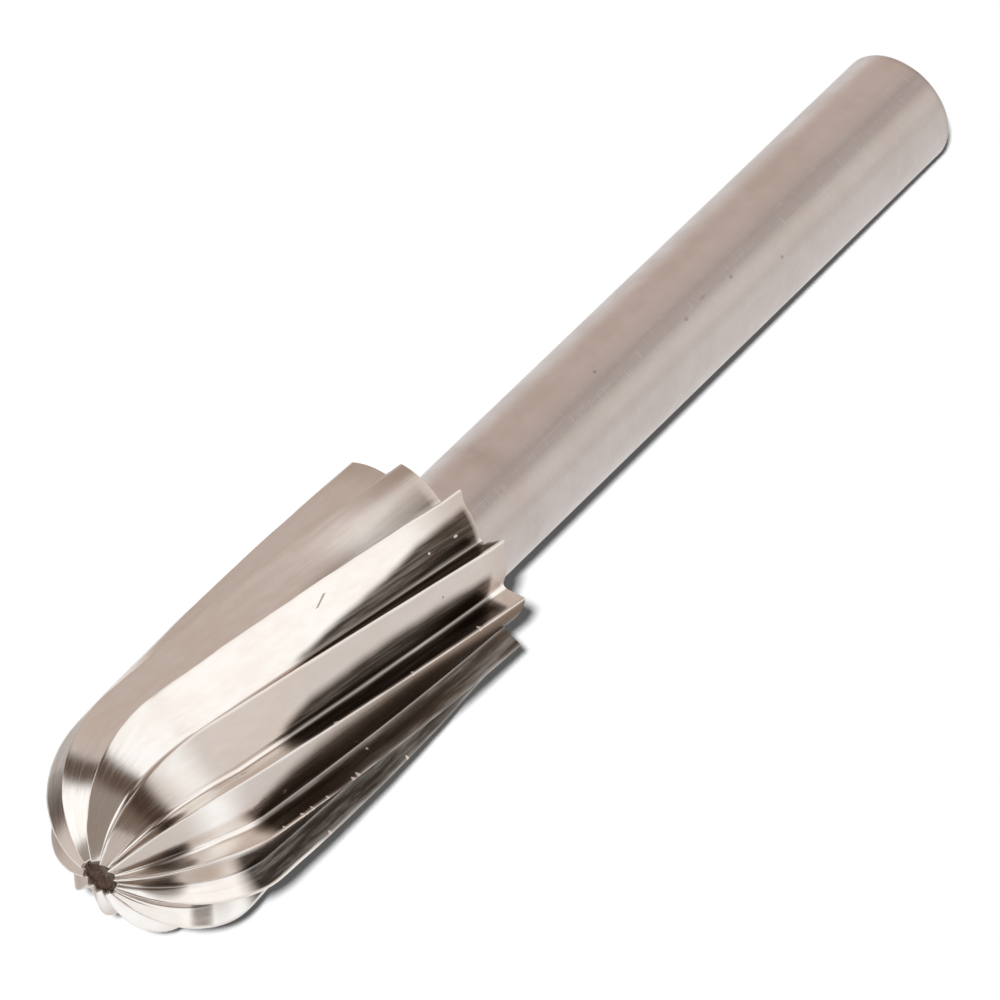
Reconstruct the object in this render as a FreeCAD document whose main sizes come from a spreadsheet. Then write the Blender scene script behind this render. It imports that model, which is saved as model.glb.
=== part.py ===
import FreeCAD, Part
import Sketcher
import math
import os

from FreeCAD import Vector, Placement, Rotation

# Rotary burr: a fluted cutting head with a rounded nose on a plain round shank, one piece of metal.
# Lengths are in millimetres, angles in degrees.
# The part's own X axis is the axis of the tool. X = 0 is the flat back of the head,
# the nose is at +X and the shank runs to -X.

os.makedirs("parts", exist_ok=True)
doc = FreeCAD.newDocument("rotary_burr")

# Sizes
sheet = doc.addObject("Spreadsheet::Sheet", "Sizes")
sheet.Label = "Sizes"
sizes = (
    ("ShankDiameter", 6.0, "diameter of the plain shank"),
    ("ShankLength", 40.0, "back of the head to the end of the shank"),
    ("ShankChamfer", 0.3, "bevel round the end of the shank"),
    ("HeadDiameter", 11.75, "over the crests of the teeth"),
    ("HeadLength", 24.9, "back of the head to the tip of the nose, as if the crests met there"),
    ("NoseLength", 6.3, "axial length of the rounded nose"),
    ("ToothCount", 12, "teeth round the head"),
    ("HelixLead", 211.0, "advance of the teeth along the axis for one full turn"),
    ("FluteDepth", 1.25, "crest to root on the straight part of the head"),
    ("HubFluteDepth", 0.12, "depth the flutes would have at the axis"),
    ("DepthFade", 1.15, "power of the crest radius by which the flutes grow shallower over the nose"),
    ("RakeLag", 3.3, "turn from the root to the crest up the cutting face, straight part, in degrees"),
    ("NoseRakeLag", 7.9, "the same at the tip of the nose, in degrees"),
    ("RootRadius", 0.22, "rounding along the bottom of each flute"),
    ("FacetBulgeHeight", 0.1, "how far the back of a tooth stands out from its spiral line at the back of the head"),
    ("FacetBulgeRun", 7.0, "distance from the back of the head over which the bulge dies away into a flat facet"),
    ("HubRadius", 0.4, "where the flutes run out beside the axis"),
    ("PitDiameter", 1.8, "small recess in the tip of the nose"),
    ("PitDepth", 0.7, "depth of the recess below the rim"),
    ("PitFloorDiameter", 0.8, "floor of the recess, narrower than its mouth"),
)
for row, (alias, value, note) in enumerate(sizes, start=1):
    sheet.set("A%d" % row, alias)
    sheet.set("B%d" % row, str(value))
    sheet.set("C%d" % row, note)
    sheet.setAlias("B%d" % row, alias)
doc.recompute()


def size(alias):
    return float(sheet.get(alias))


teeth = int(round(size("ToothCount")))
pitch = 360.0 / teeth
crestRadius = size("HeadDiameter") / 2
noseStart = size("HeadLength") - size("NoseLength")
shankRadius = size("ShankDiameter") / 2


# The outline of the crests, from the back of the head over the nose.
# The nose is a quarter ellipse; the lean of its outward normal is measured from the radial direction.
def crestOutline(step):
    if step <= 1:
        return noseStart * step, crestRadius, 0.0
    lastLean = math.acos(size("HubRadius") / crestRadius)
    lean = (step - 1) * lastLean
    return noseStart + size("NoseLength") * math.sin(lean), crestRadius * math.cos(lean), lean


# The flutes run out at the hub: 1 away from it, 0 at its edge.
def runOut(radius):
    share = min(1.0, (radius - size("HubRadius")) / size("HubRadius"))
    return max(0.0, math.sin(share * math.pi / 2))


# Flute depth follows the crest radius over the nose.
def fluteDepth(radius):
    share = (radius / crestRadius) ** size("DepthFade")
    full = size("HubFluteDepth") + (size("FluteDepth") - size("HubFluteDepth")) * share
    return full * runOut(radius)


# One point of the head: sunk below the crest outline along its normal, and turned about the axis.
def headPoint(step, depth, turn):
    along, radius, lean = crestOutline(step)
    along = along - depth * math.sin(lean)
    radius = radius - depth * math.cos(lean)
    angle = math.radians(turn)
    return Vector(along, radius * math.sin(angle), radius * math.cos(angle))


# Control points across one flute, from a crest down its back, round the root and up the next cutting face.
def fluteSection(step):
    along, radius, lean = crestOutline(step)
    depth = fluteDepth(radius)
    crestTurn = -360 * along / size("HelixLead")
    lag = size("RakeLag") + (size("NoseRakeLag") - size("RakeLag")) * lean / (math.pi / 2)
    arc = math.radians(1) * radius
    backRun = (pitch - lag) * arc
    rakeRun = lag * arc
    backSlope = math.hypot(backRun, depth)
    rakeSlope = math.hypot(rakeRun, depth)
    trim = min(2.2 * size("RootRadius"), 0.35 * rakeSlope)
    backShare = 1 - trim / backSlope
    rakeShare = trim / rakeSlope
    flatSag = radius * math.cos(lean) * math.radians(pitch - lag) ** 2 / 8 * runOut(radius)
    fading = min(1.0, along / size("FacetBulgeRun"))
    fading = fading * fading * (3 - 2 * fading)
    bulge = size("FacetBulgeHeight") * (1 - fading) - flatSag * fading
    crest = headPoint(step, 0, crestTurn)
    back = headPoint(step, depth * backShare, crestTurn + backRun * backShare / arc)
    middleDepth = depth * backShare / 2 - 2 * bulge
    middle = headPoint(step, middleDepth, crestTurn + backRun * backShare / arc / 2)
    root = headPoint(step, depth, crestTurn + pitch - lag)
    foot = headPoint(step, depth * (1 - rakeShare), crestTurn + pitch - lag + lag * rakeShare)
    nextCrest = headPoint(step, 0, crestTurn + pitch)
    return crest, middle, back, root, foot, nextCrest


# Stations along a flute: evenly down the straight part, then over the nose, closer near the hub.
straightSteps = 8
noseSteps = 16
stations = [index / straightSteps for index in range(straightSteps)]
stations += [1 + math.sin(index / noseSteps * math.pi / 2) for index in range(noseSteps + 1)]
sections = [fluteSection(step) for step in stations]
rows = list(zip(*sections))


# Every row of control points is carried along the flute by the same cubic, so faces share their edges.
def carried(points):
    curve = Part.BSplineCurve()
    curve.interpolate(Points=list(points), Parameters=stations)
    return curve


curves = [carried(points) for points in rows]
knots = curves[0].getKnots()
multiplicities = curves[0].getMultiplicities()


# A face between chosen rows: two rows give a ruled face, three rows a gently curved one.
# It is parted where the nose begins, into a straight face and a nose face.
def strips(indices):
    poles = [list(column) for column in zip(*[curves[index].getPoles() for index in indices])]
    order = len(indices) - 1
    surface = Part.BSplineSurface()
    surface.buildFromPolesMultsKnots(poles, multiplicities, [order + 1, order + 1], knots,
                                     [0.0, 1.0], False, False, 3, order)
    nosePart = surface.copy()
    surface.segment(0.0, 1.0, 0.0, 1.0)
    nosePart.segment(1.0, 2.0, 0.0, 1.0)
    return [surface.toShape(), nosePart.toShape()]


toothFaces = strips((0, 1, 2)) + strips((2, 3, 4)) + strips((4, 5))
faces = []
for index in range(teeth):
    for face in toothFaces:
        turned = face.copy()
        turned.rotate(Vector(0, 0, 0), Vector(1, 0, 0), -pitch * index)
        faces.append(turned)


# The flat back of the head and the small flat at the hub close the shell.
def endCap(along):
    edges = []
    for face in faces:
        for edge in face.Edges:
            if all(abs(vertex.Point.x - along) < 1e-6 for vertex in edge.Vertexes):
                edges.append(edge)
    wire = Part.Wire(Part.__sortEdges__(edges))
    return Part.Face(wire)


faces.append(endCap(0.0))
faces.append(endCap(crestOutline(2)[0]))
shell = Part.Shell(faces)
shell.sewShape(0.0001)
headSolid = Part.Solid(shell)
if headSolid.Volume < 0:
    headSolid.reverse()
print("head", headSolid.isValid(), headSolid.ShapeType, round(headSolid.Volume, 3), len(headSolid.Faces))

headFeature = doc.addObject("Part::Feature", "FlutedHead")
headFeature.Label = "fluted head"
headFeature.Shape = headSolid

# The tool itself: the head first, then the shank turned on to its back and the recess turned out of its nose.
body = doc.addObject("PartDesign::Body", "Burr")
body.Label = "rotary_burr"
body.BaseFeature = headFeature
doc.recompute()


def originItem(role):
    return [item for item in body.Origin.OriginFeatures if item.Role == role][0]


# A closed outline of straight lines in the upright plane through the axis, starting on the axis.
# Its first and last corners lie on the axis. Distances are bound to the sheet further down.
def turnedProfile(name, corners):
    sketch = body.newObject("Sketcher::SketchObject", name)
    sketch.AttachmentSupport = [(originItem("XZ_Plane"), "")]
    sketch.MapMode = "FlatFace"
    doc.recompute()
    last = len(corners) - 1
    for number in range(last + 1):
        start = Vector(corners[number][0], corners[number][1], 0)
        end = Vector(corners[(number + 1) % (last + 1)][0], corners[(number + 1) % (last + 1)][1], 0)
        sketch.addGeometry(Part.LineSegment(start, end), False)
    for number in range(last + 1):
        sketch.addConstraint(Sketcher.Constraint("Coincident", number, 2, (number + 1) % (last + 1), 1))
    sketch.addConstraint(Sketcher.Constraint("PointOnObject", last, 1, -1))
    return sketch


# Holds one corner at a distance along the axis or out from it, both taken from the sheet.
def hold(sketch, kind, corner, value, expression):
    sign = 1 if value >= 0 else -1
    ends = (-1, 1, corner, 1) if sign > 0 else (corner, 1, -1, 1)
    number = sketch.addConstraint(Sketcher.Constraint(kind, *ends, abs(value)))
    sketch.setExpression("Constraints[%d]" % number, expression)


shankLength = size("ShankLength")
bevel = size("ShankChamfer")
shankSketch = turnedProfile("ShankProfile", (
    (0.0, 0.0), (0.0, shankRadius), (bevel - shankLength, shankRadius),
    (-shankLength, shankRadius - bevel), (-shankLength, 0.0)))
shankSketch.addConstraint(Sketcher.Constraint("Coincident", 0, 1, -1, 1))
shankSketch.addConstraint(Sketcher.Constraint("Vertical", 0))
shankSketch.addConstraint(Sketcher.Constraint("Horizontal", 1))
shankSketch.addConstraint(Sketcher.Constraint("Vertical", 3))
hold(shankSketch, "DistanceY", 1, shankRadius, "Sizes.ShankDiameter / 2")
hold(shankSketch, "DistanceX", 2, bevel - shankLength, "Sizes.ShankLength - Sizes.ShankChamfer")
hold(shankSketch, "DistanceX", 3, -shankLength, "Sizes.ShankLength")
hold(shankSketch, "DistanceY", 3, shankRadius - bevel, "Sizes.ShankDiameter / 2 - Sizes.ShankChamfer")
doc.recompute()
shank = body.newObject("PartDesign::Revolution", "Shank")
shank.Profile = shankSketch
shank.ReferenceAxis = (originItem("X_Axis"), [""])
shank.Angle = 360
doc.recompute()
print("with shank", round(body.Shape.Volume, 3), "degrees of freedom left", shankSketch.solve())

# The recess: straight at its mouth and narrowing to its floor.
noseTip = size("HeadLength")
pitDepth = size("PitDepth")
mouthRadius = size("PitDiameter") / 2
floorRadius = size("PitFloorDiameter") / 2
pitSketch = turnedProfile("RecessProfile", (
    (noseTip - pitDepth, 0.0), (noseTip - pitDepth, floorRadius), (noseTip - pitDepth / 2, mouthRadius),
    (noseTip + pitDepth, mouthRadius), (noseTip + pitDepth, 0.0)))
pitSketch.addConstraint(Sketcher.Constraint("PointOnObject", 0, 1, -1))
pitSketch.addConstraint(Sketcher.Constraint("Vertical", 0))
pitSketch.addConstraint(Sketcher.Constraint("Horizontal", 2))
pitSketch.addConstraint(Sketcher.Constraint("Vertical", 3))
hold(pitSketch, "DistanceX", 0, noseTip - pitDepth, "Sizes.HeadLength - Sizes.PitDepth")
hold(pitSketch, "DistanceY", 1, floorRadius, "Sizes.PitFloorDiameter / 2")
hold(pitSketch, "DistanceX", 2, noseTip - pitDepth / 2, "Sizes.HeadLength - Sizes.PitDepth / 2")
hold(pitSketch, "DistanceY", 2, mouthRadius, "Sizes.PitDiameter / 2")
hold(pitSketch, "DistanceX", 3, noseTip + pitDepth, "Sizes.HeadLength + Sizes.PitDepth")
doc.recompute()
noseBlock = Part.makeBox(4 * pitDepth, 4 * mouthRadius, 4 * mouthRadius,
                         Vector(noseTip - 2 * pitDepth, -2 * mouthRadius, -2 * mouthRadius))
before = body.Shape.common(noseBlock).Volume
recess = body.newObject("PartDesign::Groove", "Recess")
recess.Profile = pitSketch
recess.ReferenceAxis = (originItem("X_Axis"), [""])
recess.Angle = 360
body.Tip = recess
doc.recompute()
print("recess takes out", round(before - body.Shape.common(noseBlock).Volume, 3))

# It lies as it comes to rest on a level floor: on two neighbouring teeth at the back of the head
# and on the rim at the end of the shank, so the nose points a little upward.
# The origin is on the floor, under the middle of the box round the part.
supportHeight = crestRadius * math.cos(math.radians(pitch / 2))
restTilt = math.degrees(math.atan2(supportHeight - shankRadius, shankLength - bevel))
roll = Rotation(Vector(1, 0, 0), pitch / 2)
tilt = Rotation(Vector(0, 1, 0), -restTilt)
body.Placement = Placement(Vector(0, 0, 0), tilt.multiply(roll))
doc.recompute()
reach = body.Shape.optimalBoundingBox(False, False)
body.Placement.Base = Vector(-reach.Center.x, -reach.Center.y, -reach.ZMin)
doc.recompute()
print("tilt", round(restTilt, 4), "set off", body.Placement.Base)
print("balance point", body.Shape.Solids[0].CenterOfMass)

for item in doc.Objects:
    if "Invalid" in item.State or "Error" in item.State:
        raise RuntimeError("not valid: " + item.Label)
for item in (headFeature, body):
    if item.Shape.isNull() or not item.Shape.isValid():
        raise RuntimeError("bad shape: " + item.Label)
if len(body.Shape.Solids) != 1:
    raise RuntimeError("the burr is not one solid")
body.Shape.exportStep("parts/rotary_burr.step")
print("box", body.Shape.BoundBox)
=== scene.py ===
import bpy
import math
import numpy as np
from mathutils import Matrix, Vector


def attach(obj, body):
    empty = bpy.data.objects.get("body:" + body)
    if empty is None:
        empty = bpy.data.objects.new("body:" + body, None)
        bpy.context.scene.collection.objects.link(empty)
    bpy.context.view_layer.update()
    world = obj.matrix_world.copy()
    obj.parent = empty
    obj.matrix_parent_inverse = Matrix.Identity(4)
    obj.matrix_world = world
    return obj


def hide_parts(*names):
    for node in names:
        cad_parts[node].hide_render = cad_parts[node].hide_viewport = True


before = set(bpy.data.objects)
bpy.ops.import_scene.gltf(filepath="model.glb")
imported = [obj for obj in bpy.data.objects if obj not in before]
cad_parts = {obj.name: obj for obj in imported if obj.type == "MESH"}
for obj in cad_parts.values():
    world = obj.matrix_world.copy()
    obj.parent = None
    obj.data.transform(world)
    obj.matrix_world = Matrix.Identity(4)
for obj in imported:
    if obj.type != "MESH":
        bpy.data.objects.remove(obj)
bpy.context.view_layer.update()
scene = bpy.context.scene
scene.view_settings.view_transform = "Standard"
print("frame loaded")

# Where the burr lies. Its own axis is X; it is rolled, tilted onto its tail and set down (degrees and metres).
restPose = dict(roll=15.0, tilt=3.8545, place=(0.00763055, 0.0, 0.00566198))
restTurn = (Matrix.Rotation(-math.radians(restPose["tilt"]), 3, "Y")
            @ Matrix.Rotation(math.radians(restPose["roll"]), 3, "X"))


# Millimetres on the tool's own axis become metres where the burr lies: turn, then shift.
def layDown(points):
    return points / 1000 @ np.array(restTurn).T + np.array(restPose["place"])


# 0 below low, 1 above high, 3s^2 - 2s^3 between.
def smooth(value, low, high):
    share = np.clip((value - low) / (high - low), 0, 1)
    return share * share * (3 - 2 * share)


# A bell of height 1: exp(-((value - centre) / width)^2).
def bump(value, centre, width):
    return np.exp(-((value - centre) / width) ** 2)


# Slow uneven drift from about -1 to 1: five sines, each 0.57 as long and 0.62 as high as the last, seeded phases.
def waver(value, seed, length):
    phases = np.random.default_rng(seed).uniform(0, 2 * np.pi, 5)
    return sum(np.sin(2 * np.pi * value / (length * 0.57 ** octave) + phase) * 0.62 ** octave
               for octave, phase in enumerate(phases)) / 1.6


# A closed skin from rows of points round the axis: quads between rows, a fan to one point at each end.
# uv has one column more than the grid, so that the pattern doesn't run back across the last column.
def skin(name, grid, endPoints, uv, sharpRows, masks):
    rows, cols = grid.shape[:2]
    points = np.concatenate([grid.reshape(-1, 3), endPoints])
    row, col = np.meshgrid(np.arange(rows - 1), np.arange(cols), indexing="ij")
    after = (col + 1) % cols
    quads = np.stack([row * cols + col, row * cols + after, (row + 1) * cols + after, (row + 1) * cols + col], -1)
    ring = np.arange(cols)
    last = (rows - 1) * cols
    startFan = np.stack([np.full(cols, rows * cols), (ring + 1) % cols, ring], -1)
    endFan = np.stack([np.full(cols, rows * cols + 1), last + ring, last + (ring + 1) % cols], -1)
    loops = np.concatenate([quads.ravel(), startFan.ravel(), endFan.ravel()])
    starts = np.concatenate([np.arange(row.size) * 4, 4 * row.size + np.arange(2 * cols) * 3])
    mesh = bpy.data.meshes.new(name)
    mesh.vertices.add(len(points))
    mesh.vertices.foreach_set("co", points.ravel())
    mesh.loops.add(len(loops))
    mesh.loops.foreach_set("vertex_index", loops)
    mesh.polygons.add(len(starts))
    mesh.polygons.foreach_set("loop_start", starts)
    mesh.update(calc_edges=True)
    mesh.validate()
    mesh.polygons.foreach_set("use_smooth", np.ones(len(starts), bool))
    quadUv = uv[np.stack([row, row, row + 1, row + 1], -1), np.stack([col, col + 1, col + 1, col], -1)]
    startUv = np.stack([uv[0, ring], uv[0, ring + 1], uv[0, ring]], 1)
    endUv = np.stack([uv[-1, ring], uv[-1, ring], uv[-1, ring + 1]], 1)
    layer = mesh.uv_layers.new(name="ground")
    layer.data.foreach_set("uv", np.concatenate([quadUv.ravel(), startUv.ravel(), endUv.ravel()]))
    for label, values in masks.items():
        values = np.broadcast_to(values, (rows, cols))
        layer = mesh.attributes.new(label, "FLOAT", "POINT")
        layer.data.foreach_set("value", np.concatenate([values.ravel(), values[0, :1], values[-1, :1]]))
    ends = np.empty(2 * len(mesh.edges), int)
    mesh.edges.foreach_get("vertices", ends)
    rowOf = ends.reshape(-1, 2) // cols
    sharp = (rowOf[:, 0] == rowOf[:, 1]) & np.isin(rowOf[:, 0], sharpRows)
    mesh.attributes.new("sharp_edge", "BOOLEAN", "EDGE").data.foreach_set("value", sharp)
    return dress(bpy.data.objects.new(name, mesh))


# Every piece rides on the root and stands for the burr's one node, which it hides.
def dress(piece):
    scene.collection.objects.link(piece)
    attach(piece, "root")
    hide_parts("rotary_burr")
    return piece


# The fluted head, in millimetres and degrees, with the same names and sizes as in the solid.
head = dict(radius=5.875, length=24.9, nose=6.3, lead=211.0, teeth=12, depth=1.25, hubDepth=0.12, fade=1.15,
            lag=3.3, noseLag=7.9, rootRadius=0.22, bulge=0.1, bulgeRun=7.0, hub=0.4, edge=0.042,
            pitRadius=0.9, pitRim=0.93, pitDepth=0.7, pitFloor=0.35)


# Quadratic Bezier: (1-s)^2 first + 2s(1-s) middle + s^2 last.
def bezier(first, middle, last, share):
    return (1 - share) ** 2 * first + 2 * share * (1 - share) * middle + share ** 2 * last


# One flute in section, as turn from its crest and depth below it. Part 0 rounds over the crest, 1 goes down the back,
# 2 round the root and 3 up the cutting face. Depth fades with the crest radius to a power and runs out at the hub.
def fluteSection(along, radius, lean, part, share, crestEdge):
    runOut = np.sin(np.clip((radius - head["hub"]) / head["hub"], 0, 1) * np.pi / 2)
    fullDepth = head["hubDepth"] + (head["depth"] - head["hubDepth"]) * (radius / head["radius"]) ** head["fade"]
    depth = fullDepth * runOut
    pitch = 360 / head["teeth"]
    lag = head["lag"] + (head["noseLag"] - head["lag"]) * lean / (np.pi / 2)
    arc = np.radians(1) * radius
    backSlope = np.hypot((pitch - lag) * arc, depth)
    rakeSlope = np.hypot(lag * arc, depth)
    trim = np.minimum(2.2 * head["rootRadius"], 0.35 * rakeSlope)
    backShare, rakeShare = 1 - trim / backSlope, trim / rakeSlope
    flatSag = radius * np.cos(lean) * np.radians(pitch - lag) ** 2 / 8 * runOut
    fading = smooth(along, 0, head["bulgeRun"])
    bulge = head["bulge"] * (1 - fading) - flatSag * fading
    backTurn, backDepth = (pitch - lag) * backShare, depth * backShare
    middleDepth = backDepth / 2 - 2 * bulge
    footTurn, footDepth = pitch - lag + lag * rakeShare, depth * (1 - rakeShare)
    edgeBack, edgeRake = np.clip(crestEdge / backSlope, 0, 0.2), np.clip(crestEdge / rakeSlope, 0, 0.2)
    onBack = edgeBack + (1 - edgeBack) * share
    parts = [part == index for index in range(4)]
    turn = np.select(parts, [bezier(-lag * edgeRake, 0, bezier(0, backTurn / 2, backTurn, edgeBack), share),
                             bezier(0, backTurn / 2, backTurn, onBack),
                             bezier(backTurn, pitch - lag, footTurn, share),
                             footTurn + (pitch - lag * edgeRake - footTurn) * share])
    sunk = np.select(parts, [bezier(depth * edgeRake, 0, bezier(0, middleDepth, backDepth, edgeBack), share),
                             bezier(0, middleDepth, backDepth, onBack),
                             bezier(backDepth, depth, footDepth, share),
                             footDepth * (1 - share) + depth * edgeRake * share])
    return turn, sunk


# A point of the head: the crest outline is straight, then a quarter ellipse; the flute sinks along its normal.
# path is the distance along the crest, near enough.
def headPoint(straightShare, lean, tooth, part, share):
    along = (head["length"] - head["nose"]) * straightShare + head["nose"] * np.sin(lean)
    radius = head["radius"] * np.cos(lean)
    path = along + head["nose"] * (lean - np.sin(lean))
    crestEdge = head["edge"] * (1 + 0.5 * waver(path + 9.7 * tooth, 3, 5.0)) * (1 + 0.5 * lean)
    turn, sunk = fluteSection(along, radius, lean, part, share, crestEdge)
    angle = np.radians(-360 * along / head["lead"] + turn + 360 / head["teeth"] * tooth)
    return along - sunk * np.sin(lean), radius - sunk * np.cos(lean), angle, path


# Columns round one tooth, as part, share of the part, and share of the way from crest to crest.
sectionParts = ((4, -0.01, 0.01), (20, 0.01, 0.70), (7, 0.70, 0.85), (6, 0.85, 0.99))
partOf = np.concatenate([np.full(count, index) for index, (count, low, high) in enumerate(sectionParts)])
shareOf = np.concatenate([np.arange(count) / count for count, low, high in sectionParts])
acrossOf = np.concatenate([np.linspace(low, high, count, endpoint=False) for count, low, high in sectionParts])
part, share, across = [np.tile(values, head["teeth"])[None, :] for values in (partOf, shareOf, acrossOf)]
tooth = np.repeat(np.arange(head["teeth"]), len(partOf))[None, :]
cols = tooth.shape[1]

# The ragged mouth of the recess, found for all columns at once by halving the lean of the nose.
spin = np.arange(cols)[None, :] * 2 * np.pi / cols
mouth = head["pitRadius"] * (1 + 0.03 * waver(spin * 3, 11, 2 * np.pi))
low, high = np.full((1, cols), 0.9), np.full((1, cols), np.arccos(head["hub"] / head["radius"]))
for halving in range(40):
    middle = (low + high) / 2
    inside = headPoint(1.0, middle, tooth, part, share)[1] < mouth
    low, high = np.where(inside, low, middle), np.where(inside, middle, high)

straightRows = np.linspace(0, 1, 60)[:, None]
noseRows = np.linspace(0, 1, 125)[1:, None]
straight = headPoint(straightRows, 0 * straightRows, tooth, part, share)
nose = headPoint(1.0, low * noseRows, tooth, part, share)
along, out, angle, path = [
    np.concatenate([np.broadcast_to(body, (len(straightRows), cols)), np.broadcast_to(tip, (len(noseRows), cols))])
    for body, tip in zip(straight, nose)]
# small burrs left by the grinding wheel push a few crests out past the back of the head (tooth, how far, how wide)
for pushed, far, wide in ((1, 0.32, 0.10), (2, 0.22, 0.05), (5, 0.2, 0.06), (8, 0.15, 0.06), (10, 0.12, 0.05)):
    crossing = np.minimum(np.abs(across + tooth - pushed), head["teeth"] - np.abs(across + tooth - pushed))
    along = along - far * bump(crossing, 0.02, wide) * (1 - smooth(path, 0, 1.0))

# The recess: a chamfered mouth, a rough wall narrowing to the floor. The back: rings to the axis.
recessRows = 12
down = np.linspace(0, 1, recessRows)[1:, None]
rim = mouth * head["pitRim"]
floorAlong = head["length"] - head["pitDepth"]
chamferAlong = along[-1:].min() - 0.03
wallOut = rim + (head["pitFloor"] - rim) * down ** 1.5
wallOut = wallOut * (1 + 0.05 * waver(angle[-1:] * 2 + 3 * down, 21, 2.1) * np.sin(down * np.pi))
wallAlong = chamferAlong + (floorAlong - chamferAlong) * down + 0.03 * waver(angle[-1:] * 3 - 2 * down, 23, 1.3)
backShare = np.array([[0.45], [0.75]])
headAlong = np.concatenate([along[:1] * [[0], [0.3]], along, np.full((1, cols), chamferAlong), wallAlong])
headOut = np.concatenate([out[:1] * backShare, out, rim, wallOut])
headAngle = np.concatenate([angle[:1].repeat(2, 0), angle, angle[-1:].repeat(recessRows, 0)])
headPath = np.concatenate([path[:1] * 0 - [[5.0], [2.0]], path, path[-1:] + np.concatenate([[[0.08]], 0.1 + down])])
inRecess = np.concatenate([np.zeros((1 + len(along), 1)), [[0.35], [0.95]], np.ones((recessRows - 1, 1))])
onEnd = np.concatenate([np.ones((2, 1)), np.zeros((len(along) + recessRows, 1))])
grid = np.stack([headAlong, headOut * np.sin(headAngle), headOut * np.cos(headAngle)], -1)
uAlong = np.concatenate([headPath, headPath[:, :1]], 1)
vAcross = np.append(across + tooth, across[0, 0] + head["teeth"])
uv = np.stack([uAlong, np.broadcast_to(vAcross, uAlong.shape)], -1)

# Painted dark reflections in each flute, tooth by tooth, where the tool's own shadow and the dark room are mirrored:
# where across the back the dark starts (0 crest, 1 next crest), how soft that edge is, how far from the back plane it
# reaches and how far short of it it stops, how blunt its far end is, how fully it covers the metal and how black it
# is; then the painted share of light that the tooth's back keeps along the flute, at the back plane (and how far in
# that is seen) and near the hub.
paintedReflections = dict(start=(0.42, 0.22, 0.36, 0.08, -0.12, -0.12, 0.38, 0.34, 0.42, 0.36, 0.66, 0.66),
              soft=(0.22, 0.07, 0.10, 0.18, 0.12, 0.12, 0.10, 0.10, 0.10, 0.10, 0.10, 0.10),
              reach=(9.0, 12.5, 16.0, 19.5, 20.9, 19.0, 14.5, 15.5, 13.5, 15.0, 14.0, 14.0),
              short=(0.3, 0.1, 1.1, -0.5, -0.5, -0.5, 0.6, 0.4, 0.7, 0.5, 0.3, 0.3),
              blunt=(2.0, 1.2, 7.0, 7.0, 9.0, 9.0, 4.0, 6.0, 3.0, 5.0, 3.0, 3.0),
              cover=(0.6, 1.0, 1.0, 1.0, 1.0, 1.0, 1.0, 1.0, 1.0, 1.0, 1.0, 1.0),
              blackReflection=(0.0, 0.75, 0.9, 0.65, 1.0, 0.9, 0.3, 0.4, 0.2, 0.3, 0.2, 0.2),
              paintedLight=(0.95, 1.0, 0.52, 0.50, 0.35, 0.45, 0.5, 0.7, 0.85, 0.75, 0.9, 0.9),
              paintedLightEnd=(0.50, 0.45, 0.45, 0.12, 0.3, 0.4, 0.6, 0.5, 0.6, 0.5, 0.7, 0.7),
              endReach=(4.5, 4.5, 1.8, 17.0, 1.5, 1.5, 2.0, 2.0, 2.0, 2.0, 2.0, 2.0),
              paintedLightHub=(1.0, 0.85, 0.35, 0.45, 0.65, 0.55, 0.45, 0.55, 0.5, 0.45, 0.4, 0.4))
# Painted dark reflections round the nose: tooth, distance along the crest, place across, half length, half width,
# strength.
noseReflections = ((2, 23.3, 0.93, 0.8, 0.07, 0.8), (3, 24.6, 0.70, 1.3, 0.20, 0.78), (3, 24.0, 0.93, 0.8, 0.07, 0.8),
             (4, 25.2, 0.75, 1.2, 0.20, 0.75), (5, 22.3, 0.75, 0.8, 0.35, 0.78), (11, 23.0, 0.20, 1.7, 0.35, 0.65),
             (11, 20.5, 0.35, 3.0, 0.60, 0.5), (10, 21.5, 0.50, 3.5, 0.80, 0.58), (5, 21.0, 0.40, 1.6, 0.50, 0.4),
             (6, 20.5, 0.40, 3.0, 0.50, 0.45), (6, 23.5, 0.40, 0.8, 0.30, 0.5),
             (7, 22.6, 0.55, 0.9, 0.25, 0.6), (8, 24.1, 0.35, 0.8, 0.30, 0.5), (9, 23.0, 0.60, 0.9, 0.25, 0.6))
start, soft, reach, short, blunt, cover, blackReflection, paintedLight, paintedLightEnd, endReach, paintedLightHub = [
    np.array(values)[tooth] for values in paintedReflections.values()]
footPlace = 0.74  # where across a tooth its back meets the root
# painted dark reflection across each tooth's back, with a wavy edge, fading along the flute
darkEdge = start + (footPlace - start) * np.clip(headPath / reach, 0, 1) ** blunt
edgeAcross = darkEdge + 0.018 * waver(headPath + 5.3 * tooth, 31, 9.0)
inFlute = smooth(across, edgeAcross - soft, edgeAcross + soft)
inFlute = inFlute * (1 - 0.35 * bump(across, 0.765, 0.018)) * (1 - (0.7 - 0.4 * blackReflection) * smooth(across, 0.965, 0.995))
darkReflection = cover * inFlute * (1 - smooth(headPath, reach - 1.0, reach + 0.5))
darkReflection = darkReflection * smooth(headPath, short - 0.15, short + 0.25)
blackReflection = blackReflection * darkReflection
# painted dark reflections round the nose, laid over those in the flutes
for marked, far, place, halfLength, halfWidth, strength in noseReflections:
    spread = ((headPath - far) / halfLength) ** 2 + ((across - place) / halfWidth) ** 2
    darkReflection = np.maximum(darkReflection, (tooth == marked) * strength * (1 - smooth(spread, 0.2, 1.6)))
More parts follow.
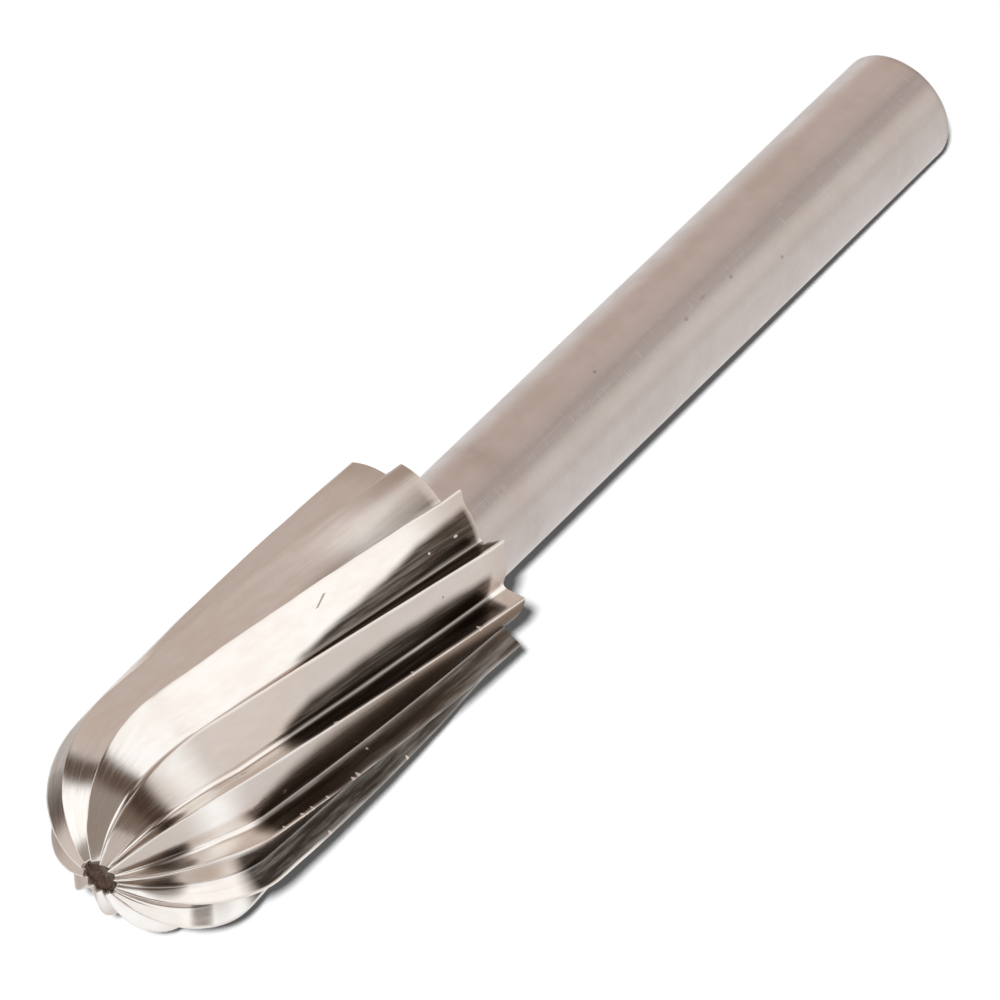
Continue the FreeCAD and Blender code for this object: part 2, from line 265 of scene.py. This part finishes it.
# painted shade on each tooth's back: its share at the back plane, then along the flute, then near the hub; less of it
# near the nose on the first five teeth
backPaintedLight = paintedLight + (paintedLightEnd - paintedLight) * (1 - smooth(headPath, 0.2, endReach))
nearHub = smooth(headPath, 22.0, 25.0)
backPaintedLight = backPaintedLight + (paintedLightHub - backPaintedLight) * nearHub + (1 - paintedLight) * (tooth < 5) * bump(headPath, 21.3, 1.2)
headPaintedLight = 1 - (1 - np.clip(backPaintedLight, 0, 1)) * smooth(across, 0.0, 0.03) * (1 - smooth(across, 0.70, 0.76))
crestMask = np.maximum(bump(across, 0, 0.015), bump(across, 1, 0.015)) * (1 - onEnd) * (1 - 0.5 * blackReflection)
headMasks = {"darkReflection": darkReflection * (1 - onEnd), "blackReflection": blackReflection * (1 - onEnd), "paintedLight": headPaintedLight, "recess": inRecess,
             "crest": crestMask, "turned": onEnd}
headPiece = skin("fluted_head", layDown(grid), layDown(np.array([[0.0, 0, 0], [floorAlong, 0, 0]])), uv,
                 [2, 2 + len(along)], headMasks)
print("fluted head", grid.shape)

# The shank: radius along the axis, with a rounded bevel at its end, carried round the axis.
shank = dict(radius=3.0, length=40.0, bevel=0.3, inside=0.4, rows=66, turns=160)
bevelIn = shank["radius"] - shank["bevel"]
profile = np.array([(0.0, 0.7), (0.0, 1.7), (0.0, bevelIn - 0.03), (0.01, bevelIn + 0.01),
                    (shank["bevel"] - 0.05, shank["radius"] - 0.035), (shank["bevel"] + 0.04, shank["radius"])])
straightRun = np.linspace(shank["bevel"] + 0.3, shank["length"] + shank["inside"], shank["rows"])
profile = np.concatenate([profile, np.stack([straightRun, np.full(shank["rows"], shank["radius"])], -1)])
turns = shank["turns"]
spin = np.arange(turns) / turns * 2 * np.pi
shankAlong = profile[:, :1] - shank["length"]
aside = (spin + np.pi) % (2 * np.pi) - np.pi
# painted shade round the axis, where the reflection steps: some on the far side, dark along the step, less beside it,
# some underneath
shadeUnder = (0.62 - 0.16 * smooth(aside, 1.9, 3.0)) * smooth(aside, 0.22, 0.60)
shankShade = (0.46 * (1 - smooth(aside, -0.5, -0.1)) + shadeUnder
              + 0.5 * bump(aside, 0.69, 0.18) + 0.12 * bump(aside, 1.22, 0.1))
shankGrid = np.stack([np.repeat(shankAlong, turns, 1), profile[:, 1:] * np.sin(spin),
                      profile[:, 1:] * np.cos(spin)], -1)
# on the cut end u is the distance from the rim inwards, so that rings turned on it stay round
cutEnd = -shank["length"] - shank["radius"] + profile[:, 1]
uAlong = np.where(profile[:, 0] > 0, shankAlong[:, 0], cutEnd)
vRound = np.arange(turns + 1) / turns * 2 * np.pi * shank["radius"]
shankUv = np.stack(np.meshgrid(uAlong, vRound, indexing="ij"), -1)
shankUv[:3, :, 1] = 0
shankMasks = {"turned": (profile[:, :1] < 0.005) * 1.0,
              "rim": bump(profile[:, :1], shank["bevel"] / 2, 0.2) * (profile[:, :1] > 0.005),
              "shade": np.clip(shankShade, 0, 1),
              "root": 0.5 * smooth(shankAlong, -1.6, 0.0) + 0.35 * bump(shankAlong, -5.0, 0.8)}
shankEnds = layDown(np.array([[-shank["length"], 0.0, 0], [shank["inside"], 0, 0]]))
shankPiece = skin("plain_shank", layDown(shankGrid), shankEnds, shankUv, [2], shankMasks)
print("plain shank", shankGrid.shape)


# Shader helpers: feed links or sets an input, addNode makes a node with its inputs by name, and the rest make the
# usual few: arithmetic, a smooth step, a blend of two colours, a mesh attribute and noise.
def feed(tree, socket, value):
    if isinstance(value, bpy.types.NodeSocket):
        tree.links.new(value, socket)
    elif hasattr(value, "__len__") and len(value) == 3 and socket.type == "RGBA":
        socket.default_value = (*value, 1)
    else:
        socket.default_value = value


def addNode(tree, kind, operation=None, **inputs):
    node = tree.nodes.new(kind)
    if operation:
        node.operation = operation
    for name, value in inputs.items():
        feed(tree, node.inputs[name.replace("_", " ")], value)
    return node


def calc(tree, operation, *values):
    node = addNode(tree, "ShaderNodeMath", operation)
    for index, value in enumerate(values):
        feed(tree, node.inputs[index], value)
    return node.outputs[0]


def vectorCalc(tree, operation, *values):
    node = addNode(tree, "ShaderNodeVectorMath", operation)
    for index, value in enumerate(values):
        feed(tree, node.inputs[index], value)
    return node.outputs["Value"] if operation in ("LENGTH", "DOT_PRODUCT") else node.outputs["Vector"]


def ramp(tree, value, low, high, toLow=0.0, toHigh=1.0):
    node = addNode(tree, "ShaderNodeMapRange", Value=value, From_Min=low, From_Max=high, To_Min=toLow, To_Max=toHigh)
    node.interpolation_type = "SMOOTHSTEP"
    return node.outputs["Result"]


def blendColour(tree, factor, first, second):
    node = addNode(tree, "ShaderNodeMix")
    node.data_type = "RGBA"
    feed(tree, node.inputs[0], factor)
    feed(tree, node.inputs[6], first)
    feed(tree, node.inputs[7], second)
    return node.outputs[2]


def attribute(tree, name):
    node = tree.nodes.new("ShaderNodeAttribute")
    node.attribute_name = name
    return node.outputs["Fac"]


def noise(tree, vector, scale, detail, **more):
    return addNode(tree, "ShaderNodeTexNoise", Vector=vector, Scale=scale, Detail=detail, **more).outputs["Fac"]


# A named group with inputs and outputs; fill gets the tree and its input sockets and returns the output values.
def makeGroup(name, inputs, outputs, fill):
    group = bpy.data.node_groups.new(name, "ShaderNodeTree")
    for label, kind in inputs.items():
        group.interface.new_socket(name=label, in_out="INPUT", socket_type="NodeSocket" + kind)
    for label, kind in outputs.items():
        group.interface.new_socket(name=label, in_out="OUTPUT", socket_type="NodeSocket" + kind)
    values = fill(group, group.nodes.new("NodeGroupInput").outputs)
    result = group.nodes.new("NodeGroupOutput")
    for label, value in zip(outputs, values):
        group.links.new(value, result.inputs[label])
    return group


# Places a group in a material, sets or links its inputs by name and gives its outputs.
def useGroup(tree, group, **inputs):
    node = tree.nodes.new("ShaderNodeGroup")
    node.node_tree = group
    for name, value in inputs.items():
        feed(tree, node.inputs[name], value)
    return node.outputs


# Grinding marks: fine lines, stretched by Stretch, and a few deeper ones where a coarser noise tops its threshold.
def fillGrain(tree, given):
    stretch = vectorCalc(tree, "MULTIPLY", given["Vector"], given["Stretch"])
    fine = noise(tree, stretch, 1.0, 6.0, Roughness=0.65)
    coarse = noise(tree, vectorCalc(tree, "MULTIPLY", stretch, (0.55, 2.2, 1.0)), 1.0, 2.0)
    deep = ramp(tree, coarse, 0.62, 0.68)
    return fine, deep, calc(tree, "SUBTRACT", fine, calc(tree, "MULTIPLY", deep, 0.5))


# Clouded metal: two noises, one four times as fine, averaged and spread out to fill 0 to 1.
def fillClouding(tree, given):
    wide = noise(tree, given["Vector"], given["Scale"], 3.0)
    close = noise(tree, given["Vector"], calc(tree, "MULTIPLY", given["Scale"], 4.0), 5.0)
    both = calc(tree, "ADD", calc(tree, "MULTIPLY", wide, 0.65), calc(tree, "MULTIPLY", close, 0.35))
    return [ramp(tree, both, 0.36, 0.64)]


# A worn edge: the edge mask, broken up by noise so that the rubbed line comes and goes.
def fillWorn(tree, given):
    breaks = noise(tree, given["Vector"], given["Scale"], 1.0)
    return [calc(tree, "MULTIPLY", given["Edge"], ramp(tree, breaks, 0.3, 0.65, 0.5, 1.0))]


# A speck: 1 inside an ellipse of half sizes Size round Centre, its outline roughened by noise.
def fillSpeck(tree, given):
    away = vectorCalc(tree, "DIVIDE", vectorCalc(tree, "SUBTRACT", given["Vector"], given["Centre"]), given["Size"])
    rough = noise(tree, given["Vector"], 14.0, 2.0)
    far = calc(tree, "ADD", vectorCalc(tree, "LENGTH", away), calc(tree, "MULTIPLY", rough, 0.5))
    return [ramp(tree, far, 1.4, 1.1)]


grain = makeGroup("grinding_marks", dict(Vector="Vector", Stretch="Vector"),
                  dict(Fine="Float", Deep="Float", Height="Float"), fillGrain)
clouding = makeGroup("clouded_metal", dict(Vector="Vector", Scale="Float"), dict(Mask="Float"), fillClouding)
worn = makeGroup("worn_edge", dict(Vector="Vector", Edge="Float", Scale="Float"), dict(Mask="Float"), fillWorn)
speck = makeGroup("speck", dict(Vector="Vector", Centre="Vector", Size="Vector"), dict(Mask="Float"), fillSpeck)


# All the specks of a piece in one mask: the largest of them.
def specks(tree, uv, places):
    masks = [useGroup(tree, speck, Vector=uv, Centre=(*centre, 0.0), Size=(*size, 1.0))["Mask"]
             for centre, size in places]
    total = masks[0]
    for mask in masks[1:]:
        total = calc(tree, "MAXIMUM", total, mask)
    return total


# A new all-metal material, with its node tree and its shader.
def newMaterial(name):
    material = bpy.data.materials.new(name)
    material.use_nodes = True
    tree = material.node_tree
    tree.nodes.clear()
    shader = addNode(tree, "ShaderNodeBsdfPrincipled", Metallic=1.0)
    tree.links.new(shader.outputs["BSDF"], addNode(tree, "ShaderNodeOutputMaterial").inputs["Surface"])
    return material, tree, shader


# The ground metal. Specks: distance along the flute in mm and tooth number, with half sizes in the same units;
# the burrs are small light crumbs left on the crests, the nicks are dark.
# its third colour is the painted shade on the teeth's backs
headFinish = dict(colour=(0.95, 0.93, 0.91), warm=(0.91, 0.865, 0.825), paintedShade=(0.28, 0.17, 0.11),
                  # these three colours paint the dark reflections in the flutes; the last of them also browns the
                  # turned back
                  darkReflection=(0.12, 0.092, 0.075), blackReflection=(0.038, 0.028, 0.022), brownAndReflection=(0.19, 0.13, 0.085),
                  recess=(0.15, 0.10, 0.075), rubbed=(0.80, 0.75, 0.71), crumb=(0.88, 0.79, 0.72),
                  nick=(0.30, 0.25, 0.22), edgeTint=(0.66, 0.60, 0.56), roughness=0.13,
                  burrs=(((13.4, 3.0), (0.15, 0.035)), ((8.1, 3.0), (0.09, 0.04)), ((3.3, 3.0), (0.10, 0.05)),
                         ((18.5, 4.0), (0.09, 0.04)), ((17.2, 4.0), (0.10, 0.04)), ((16.9, 4.02), (0.08, 0.03)),
                         ((16.5, 4.0), (0.08, 0.04)), ((15.4, 4.0), (0.08, 0.035)), ((13.5, 4.0), (0.10, 0.035)),
                         ((13.1, 3.99), (0.10, 0.035)), ((11.4, 3.85), (0.06, 0.012)), ((7.8, 5.0), (0.10, 0.04)),
                         ((14.6, 5.0), (0.10, 0.04)), ((3.0, 1.5), (0.07, 0.02)), ((1.3, 1.5), (0.12, 0.02)),
                         ((12.0, 7.0), (0.12, 0.04)), ((6.5, 8.0), (0.10, 0.04)), ((15.5, 9.0), (0.12, 0.04))),
                  nicks=(((17.0, 3.6), (0.14, 0.04)), ((4.2, 2.25), (0.05, 0.02)), ((11.0, 6.4), (0.20, 0.01)),
                         ((7.0, 9.3), (0.15, 0.01))))
# one slanting scratch near the top, as a row of short nicks
headFinish["nicks"] += tuple(((9.5 - 0.1 * step, 1.255 - 0.0132 * step), (0.11, 0.006)) for step in range(8))


# Ground steel that clouds from bright to warm, darkened by the painted shade on the teeth's backs, then in turn the
# painted dark reflections in the flutes, the turned back, the rubbed crests, the recess, the nicks and the crumbs.
def makeHeadMaterial(look):
    material, tree, shader = newMaterial("ground_head")
    feed(tree, shader.inputs["Specular Tint"], (*look["edgeTint"], 1.0))  # a grazing view stays beige instead of white
    uv = addNode(tree, "ShaderNodeUVMap").outputs["UV"]
    body = addNode(tree, "ShaderNodeTexCoord").outputs["Object"]
    darkReflection, blackReflection, paintedLight, recess, crest, turned = [
        attribute(tree, name) for name in ("darkReflection", "blackReflection", "paintedLight", "recess", "crest", "turned")]
    lines = useGroup(tree, grain, Vector=uv, Stretch=(0.22, 16.0, 1.0))
    cloud = useGroup(tree, clouding, Vector=vectorCalc(tree, "MULTIPLY", uv, (0.25, 2.2, 1.0)), Scale=1.0)["Mask"]
    blotch = useGroup(tree, clouding, Vector=body, Scale=420.0)["Mask"]
    burrs, nicks = specks(tree, uv, look["burrs"]), specks(tree, uv, look["nicks"])
    clean = blendColour(tree, cloud, look["colour"], look["warm"])
    # painted shade on the teeth's backs
    shadePainted = blendColour(tree, calc(tree, "SUBTRACT", 1.0, paintedLight), clean, look["paintedShade"])
    # painted dark reflections in the flutes: dark brown, blotched, near black in places, broken by the fine lines
    reflected = blendColour(tree, calc(tree, "MULTIPLY", blotch, 0.5), look["darkReflection"], look["brownAndReflection"])
    reflected = blendColour(tree, blackReflection, reflected, look["blackReflection"])
    dark = calc(tree, "MULTIPLY", darkReflection, ramp(tree, lines["Fine"], 0.3, 0.6, 0.84, 1.0))
    colour = blendColour(tree, dark, shadePainted, reflected)
    browned = calc(tree, "MULTIPLY", turned, ramp(tree, blotch, 0.0, 1.0, 0.25, 0.7))
    colour = blendColour(tree, browned, colour, look["brownAndReflection"])
    rub = useGroup(tree, worn, Vector=body, Edge=crest, Scale=500.0)["Mask"]
    colour = blendColour(tree, rub, colour, look["rubbed"])
    # darker brown inside the recess, blotched
    recessDark = calc(tree, "MULTIPLY", recess, ramp(tree, blotch, 0.0, 1.0, 0.8, 1.0))
    colour = blendColour(tree, recessDark, colour, look["recess"])
    colour = blendColour(tree, nicks, colour, look["nick"])
    feed(tree, shader.inputs["Base Color"], blendColour(tree, burrs, colour, look["crumb"]))
    rough = ramp(tree, lines["Fine"], 0.3, 0.7, look["roughness"] - 0.03, look["roughness"] + 0.07)
    duller = calc(tree, "MULTIPLY", calc(tree, "MAXIMUM", darkReflection, turned), 0.12)
    extra = calc(tree, "ADD", calc(tree, "MULTIPLY", recess, 0.35), duller)
    extra = calc(tree, "ADD", extra, calc(tree, "MULTIPLY", burrs, 0.45))
    feed(tree, shader.inputs["Roughness"], calc(tree, "ADD", rough, extra))
    height = calc(tree, "ADD", lines["Height"], calc(tree, "MULTIPLY", calc(tree, "SUBTRACT", burrs, nicks), 1.5))
    height = calc(tree, "ADD", height, calc(tree, "MULTIPLY", calc(tree, "MULTIPLY", recess, blotch), 4.0))
    relief = addNode(tree, "ShaderNodeBump", Strength=0.10, Distance=0.00002, Height=height)
    feed(tree, shader.inputs["Normal"], relief.outputs[0])
    return material


headPiece.data.materials.append(makeHeadMaterial(headFinish))

# The satin steel of the shank. Specks: mm along the tool from the back of the head, and mm round it.
shankFinish = dict(colour=(0.80, 0.735, 0.71), warm=(0.735, 0.665, 0.63), shaded=(0.385, 0.335, 0.315),
                   darkBrown=(0.40, 0.33, 0.29), scratch=(0.72, 0.68, 0.66), rim=(0.30, 0.25, 0.22),
                   grit=(0.30, 0.25, 0.23), roughness=0.33,
                   specks=(((-18.9, 2.52), (0.14, 0.10)), ((-20.5, 2.32), (0.20, 0.06)),
                           ((-22.6, 2.56), (0.12, 0.10)), ((-25.9, 3.60), (0.10, 0.08)),
                           ((-12.9, 1.32), (0.10, 0.08)), ((-7.0, 12.0), (0.10, 0.08)),
                           ((-33.0, 8.0), (0.12, 0.09)), ((-27.0, 16.0), (0.12, 0.09))))


# Satin steel that clouds a little, then in turn the painted shade, the stretch browned near the head, fine marks
# round and along it, the rim of its bevel, the turned end and the grit.
def makeShankMaterial(look):
    material, tree, shader = newMaterial("satin_shank")
    uv = addNode(tree, "ShaderNodeUVMap").outputs["UV"]
    body = addNode(tree, "ShaderNodeTexCoord").outputs["Object"]
    turned, rim, root, shade = [attribute(tree, name) for name in ("turned", "rim", "root", "shade")]
    lines = useGroup(tree, grain, Vector=uv, Stretch=(14.0, 0.7, 1.0))
    scrapes = useGroup(tree, grain, Vector=uv, Stretch=(0.5, 7.0, 1.0))
    cloud = useGroup(tree, clouding, Vector=body, Scale=260.0)["Mask"]
    grit = specks(tree, uv, look["specks"])
    colour = blendColour(tree, cloud, look["colour"], look["warm"])
    colour = blendColour(tree, shade, colour, look["shaded"])
    # darker brown next to the head and in a faint ring about 5 mm from it
    browned = calc(tree, "MULTIPLY", root, ramp(tree, cloud, 0.0, 1.0, 0.3, 0.7))
    colour = blendColour(tree, browned, colour, look["darkBrown"])
    marks = calc(tree, "MULTIPLY", calc(tree, "MAXIMUM", lines["Deep"], scrapes["Deep"]), 0.14)
    colour = blendColour(tree, marks, colour, look["scratch"])
    colour = blendColour(tree, useGroup(tree, worn, Vector=body, Edge=rim, Scale=900.0)["Mask"], colour, look["rim"])
    # the cut end darker brown too
    cut = calc(tree, "MULTIPLY", turned, ramp(tree, cloud, 0.0, 1.0, 0.2, 0.6))
    colour = blendColour(tree, cut, colour, look["darkBrown"])
    colour = blendColour(tree, calc(tree, "MULTIPLY", grit, 0.7), colour, look["grit"])
    feed(tree, shader.inputs["Base Color"], colour)
    rough = ramp(tree, lines["Fine"], 0.3, 0.7, look["roughness"] - 0.03, look["roughness"] + 0.05)
    feed(tree, shader.inputs["Roughness"], calc(tree, "ADD", rough, calc(tree, "MULTIPLY", cloud, 0.05)))
    height = calc(tree, "ADD", lines["Height"], scrapes["Height"])
    height = calc(tree, "SUBTRACT", height, calc(tree, "MULTIPLY", grit, 1.5))
    relief = addNode(tree, "ShaderNodeBump", Strength=0.10, Distance=0.00002, Height=height)
    feed(tree, shader.inputs["Normal"], relief.outputs[0])
    return material


shankPiece.data.materials.append(makeShankMaterial(shankFinish))
print("finishes made")

# The camera, looking down on the burr from its nose end.
view = dict(place=(0.261583, 0.172273, 0.347061), aim=(0.00238, 0.000713, 0.006), roll=1.953, lens=362.31)
camera = bpy.data.objects.new("camera", bpy.data.cameras.new("camera"))
camera.data.lens = view["lens"]
camera.data.sensor_width = 36
camera.data.clip_end = 10
look = (Vector(view["aim"]) - Vector(view["place"])).to_track_quat("-Z", "Y").to_matrix().to_4x4()
camera.matrix_world = Matrix.Translation(view["place"]) @ look @ Matrix.Rotation(math.radians(view["roll"]), 4, "Z")
scene.collection.objects.link(camera)
scene.camera = camera

# The floor: pale, with a little glow for the camera and for reflections; the burr's own shadow stays on it.
floorLook = dict(size=3.0, colour=(0.82, 0.82, 0.82), glow=0.10)


# A flat square that reaches size metres each way; the glow is added to its matt colour where it is seen or mirrored.
def makeFloor(look):
    half = look["size"]
    mesh = bpy.data.meshes.new("floor")
    mesh.from_pydata([(-half, -half, 0), (half, -half, 0), (half, half, 0), (-half, half, 0)], [], [(0, 1, 2, 3)])
    floor = bpy.data.objects.new("floor", mesh)
    scene.collection.objects.link(floor)
    material = bpy.data.materials.new("floor")
    material.use_nodes = True
    tree = material.node_tree
    tree.nodes.clear()
    matte = addNode(tree, "ShaderNodeBsdfDiffuse", Color=look["colour"])
    rays = addNode(tree, "ShaderNodeLightPath")
    mirrored = calc(tree, "MAXIMUM", rays.outputs["Is Glossy Ray"], rays.outputs["Is Transmission Ray"])
    seen = calc(tree, "MAXIMUM", rays.outputs["Is Camera Ray"], mirrored)
    glow = addNode(tree, "ShaderNodeEmission", Strength=calc(tree, "MULTIPLY", seen, look["glow"]))
    both = addNode(tree, "ShaderNodeAddShader")
    tree.links.new(matte.outputs[0], both.inputs[0])
    tree.links.new(glow.outputs[0], both.inputs[1])
    tree.links.new(both.outputs[0], addNode(tree, "ShaderNodeOutputMaterial").inputs["Surface"])
    mesh.materials.append(material)


makeFloor(floorLook)


# A direction from its azimuth (0 is +X) and its height over the floor, in degrees.
def towards(azimuth, height):
    azimuth, height = math.radians(azimuth), math.radians(height)
    return (math.cos(azimuth) * math.cos(height), math.sin(azimuth) * math.cos(height), math.sin(height))


# Studio light: a warm pale room with soft panels. Each panel is a direction, a reach and a softness in degrees;
# one with a near edge is a ring. Later ones lie over earlier ones.
room = dict(base=(0.56, 0.47, 0.42), panels=(
    dict(azimuth=128, height=20, reach=50, soft=8, colour=(1.06, 1.03, 1.0)),
    dict(azimuth=85, height=25, reach=24, soft=5, colour=(0.97, 0.95, 0.93)),
    dict(azimuth=0, height=90, reach=25, soft=5, colour=(1.05, 1.03, 1.01)),
    dict(azimuth=-11, height=-5, reach=66, soft=4, colour=(0.33, 0.28, 0.24)),
    dict(azimuth=-48, height=30, reach=30, soft=4, colour=(1.12, 1.1, 1.08)),
    dict(azimuth=-11, height=-5, reach=79, near=63, soft=4, colour=(0.105, 0.07, 0.05)),
))


# The room's colour by direction: the base, with each panel over it where the angle from its middle is under its reach.
def makeRoom(look):
    world = bpy.data.worlds.new("studio")
    world.use_nodes = True
    world.cycles_visibility.diffuse = False  # the lamp alone lights the floor, so the shadow stays thin and dark
    scene.world = world
    tree = world.node_tree
    tree.nodes.clear()
    direction = addNode(tree, "ShaderNodeTexCoord").outputs["Generated"]
    colour = look["base"]
    for panel in look["panels"]:
        cosine = vectorCalc(tree, "DOT_PRODUCT", direction, towards(panel["azimuth"], panel["height"]))
        away = calc(tree, "MULTIPLY", calc(tree, "ARCCOSINE", cosine), 180 / math.pi)
        cover = ramp(tree, away, panel["reach"] + panel["soft"], panel["reach"] - panel["soft"])
        if "near" in panel:
            inner = ramp(tree, away, panel["near"] - panel["soft"], panel["near"] + panel["soft"])
            cover = calc(tree, "MULTIPLY", cover, inner)
        colour = blendColour(tree, cover, colour, panel["colour"])
    background = addNode(tree, "ShaderNodeBackground", Color=colour)
    tree.links.new(background.outputs[0], addNode(tree, "ShaderNodeOutputWorld").inputs["Surface"])


makeRoom(room)

# The lamp that throws the thin shadow, a few degrees up and left of the camera.
lampLook = dict(azimuth=27.8, height=50.9, spread=3.8, strength=4.5)
lamp = bpy.data.objects.new("lamp", bpy.data.lights.new("lamp", "SUN"))
lamp.data.energy = lampLook["strength"]
lamp.data.angle = math.radians(lampLook["spread"])
lampTurn = Vector(towards(lampLook["azimuth"], lampLook["height"])).to_track_quat("Z", "Y")
lamp.matrix_world = lampTurn.to_matrix().to_4x4()
lamp.visible_glossy = False
scene.cycles.caustics_reflective = False  # the burr throws no light back into its own shadow
scene.collection.objects.link(lamp)
